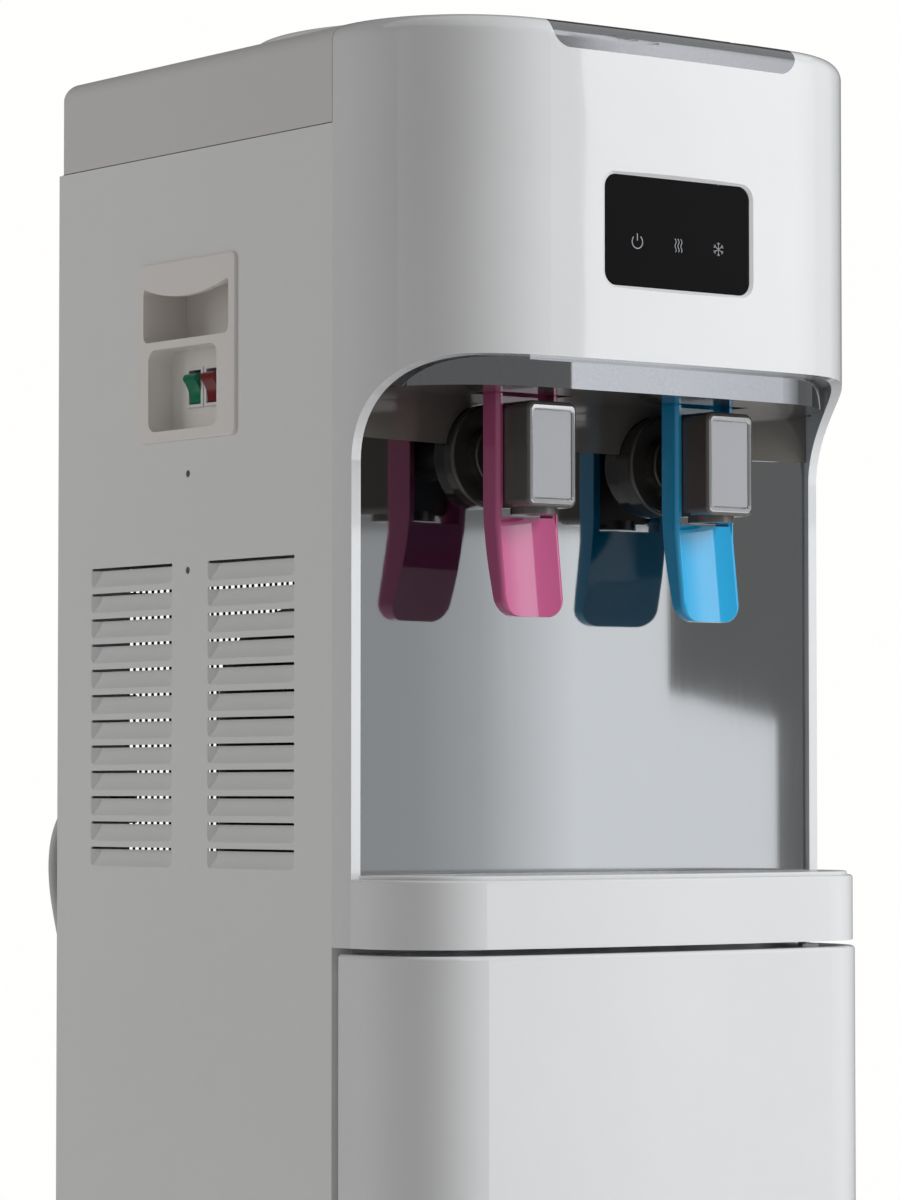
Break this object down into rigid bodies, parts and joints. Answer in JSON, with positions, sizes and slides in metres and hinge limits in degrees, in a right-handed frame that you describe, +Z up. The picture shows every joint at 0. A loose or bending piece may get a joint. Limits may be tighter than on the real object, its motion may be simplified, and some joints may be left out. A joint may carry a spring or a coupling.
{
  "type": "bottom load water cooler",
  "caption": "Free-standing bottom load water cooler with hot and cold push taps in a niche, drip tray, touch panel, bottle door, louvred sides and rear condenser.",
  "frame": {"origin": "middle of the footprint on the floor, measured without the power cord", "axes": "+Z up, the front with the taps and the door faces -Y, +X is to the right of someone facing the front"},
  "size_m": [0.3132, 0.5104, 1.055],
  "materials": {
    "panel_white": "satin powder coat",
    "bezel_white": "gloss",
    "trim_silver": "metallic paint",
    "black_glass": "gloss",
    "ceiling_dark": "gloss",
    "wall_silver": "polished",
    "tap_dark": "gloss",
    "chrome": "polished",
    "satin_plate": "satin",
    "boss_silver": "metallic paint",
    "hot_pink": "gloss",
    "cold_blue": "gloss",
    "switch_green": "gloss",
    "switch_red": "gloss",
    "insert_grey": "satin",
    "black_plastic": "satin",
    "white_plastic": "satin",
    "galvanised": "galvanised",
    "stainless": "satin",
    "steel": "plated",
    "black_steel": "gloss",
    "rubber": "matte",
    "gasket": "satin",
    "foam": "foam",
    "copper": "bright copper",
    "board_green": "solder mask",
    "tube_clear": "satin silicone",
    "cord_grey": "satin"
  },
  "bodies": {
    "cabinet": {"base_plate": "galvanised", "levelling_feet": "rubber", "side_panel_left": "panel_white", "side_panel_right": "panel_white", "rear_panel": "galvanised", "rear_cover": "galvanised", "machine_shelf": "galvanised", "tank_shelf": "galvanised", "top_cover": "panel_white", "front_panel": "bezel_white", "top_trim": "trim_silver", "display_window": "black_glass", "control_board": "board_green", "head_strip": "trim_silver", "ceiling_shroud": "ceiling_dark", "niche_wall": "wall_silver", "switch_insert": "insert_grey", "grip_insert": "insert_grey", "switch_bodies": "white_plastic", "tap_bodies": "tap_dark", "tap_face_frames": "chrome", "tap_face_plates": "satin_plate", "tap_bosses": "boss_silver", "lever_pins": "steel", "hinge_pins": "steel", "hinge_brackets": "steel", "magnet_catch": "white_plastic", "bay_floor": "white_plastic", "bottle_probe": "white_plastic", "suction_hose": "tube_clear", "hose_clips": "white_plastic", "compressor": "black_steel", "compressor_mounts": "rubber", "condenser": "black_steel", "filter_drier": "copper", "refrigerant_lines": "copper", "cold_tank": "stainless", "cold_jacket": "foam", "hot_tank": "stainless", "water_pump": "white_plastic", "water_tubes": "tube_clear", "power_box": "white_plastic", "strain_relief": "black_plastic", "power_cord": "cord_grey", "power_coil": "cord_grey", "power_plug": "cord_grey", "panel_screws": "steel"},
    "door": {"door_panel": "bezel_white", "door_liner": "white_plastic", "door_gasket": "gasket", "door_strike": "steel"},
    "hot_lever": {"hot_lever": "hot_pink"},
    "cold_lever": {"cold_lever": "cold_blue"},
    "hot_plunger": {"hot_plunger": "white_plastic"},
    "cold_plunger": {"cold_plunger": "white_plastic"},
    "hot_rocker": {"hot_rocker": "switch_red"},
    "cold_rocker": {"cold_rocker": "switch_green"},
    "tray": {"drip_tray": "bezel_white"},
    "grid": {"drip_grid": "bezel_white"},
    "lid": {"top_lid": "panel_white"}
  },
  "joints": [
    {"name": "door_hinge", "type": "hinge", "parent": "cabinet", "child": "door", "pos_m": [0.149, -0.108, 0.3], "axis": [0, 0, 1], "range_deg": [0, 110]},
    {"name": "hot_lever_push", "type": "hinge", "parent": "cabinet", "child": "hot_lever", "pos_m": [-0.0588, -0.128, 0.863], "axis": [1, 0, 0], "range_deg": [0, 9], "stiffness_Nm_per_rad": 0.15, "springref_deg": -11.46},
    {"name": "cold_lever_push", "type": "hinge", "parent": "cabinet", "child": "cold_lever", "pos_m": [0.0588, -0.128, 0.863], "axis": [1, 0, 0], "range_deg": [0, 9], "stiffness_Nm_per_rad": 0.15, "springref_deg": -11.46},
    {"name": "hot_plunger_slide", "type": "slide", "parent": "cabinet", "child": "hot_plunger", "axis": [0, 1, 0], "range_m": [0, 0.0034]},
    {"name": "cold_plunger_slide", "type": "slide", "parent": "cabinet", "child": "cold_plunger", "axis": [0, 1, 0], "range_m": [0, 0.0034]},
    {"name": "hot_rocker_tilt", "type": "hinge", "parent": "cabinet", "child": "hot_rocker", "pos_m": [-0.1394, 0.02545, 0.8662], "axis": [0, 1, 0], "range_deg": [0, 18]},
    {"name": "cold_rocker_tilt", "type": "hinge", "parent": "cabinet", "child": "cold_rocker", "pos_m": [-0.1394, 0.04175, 0.8662], "axis": [0, 1, 0], "range_deg": [0, 18]},
    {"name": "tray_pull", "type": "slide", "parent": "cabinet", "child": "tray", "axis": [0, -1, 0], "range_m": [0, 0.06]},
    {"name": "grid_lift", "type": "slide", "parent": "tray", "child": "grid", "axis": [0, 0, 1], "range_m": [0, 0.03]},
    {"name": "lid_lift", "type": "slide", "parent": "cabinet", "child": "lid", "axis": [0, 0, 1], "range_m": [0, 0.04]}
  ],
  "couplings": [
    {"joint": "hot_plunger_slide", "follows": "hot_lever_push", "m_per_rad": 0.02},
    {"joint": "cold_plunger_slide", "follows": "cold_lever_push", "m_per_rad": 0.02}
  ]
}
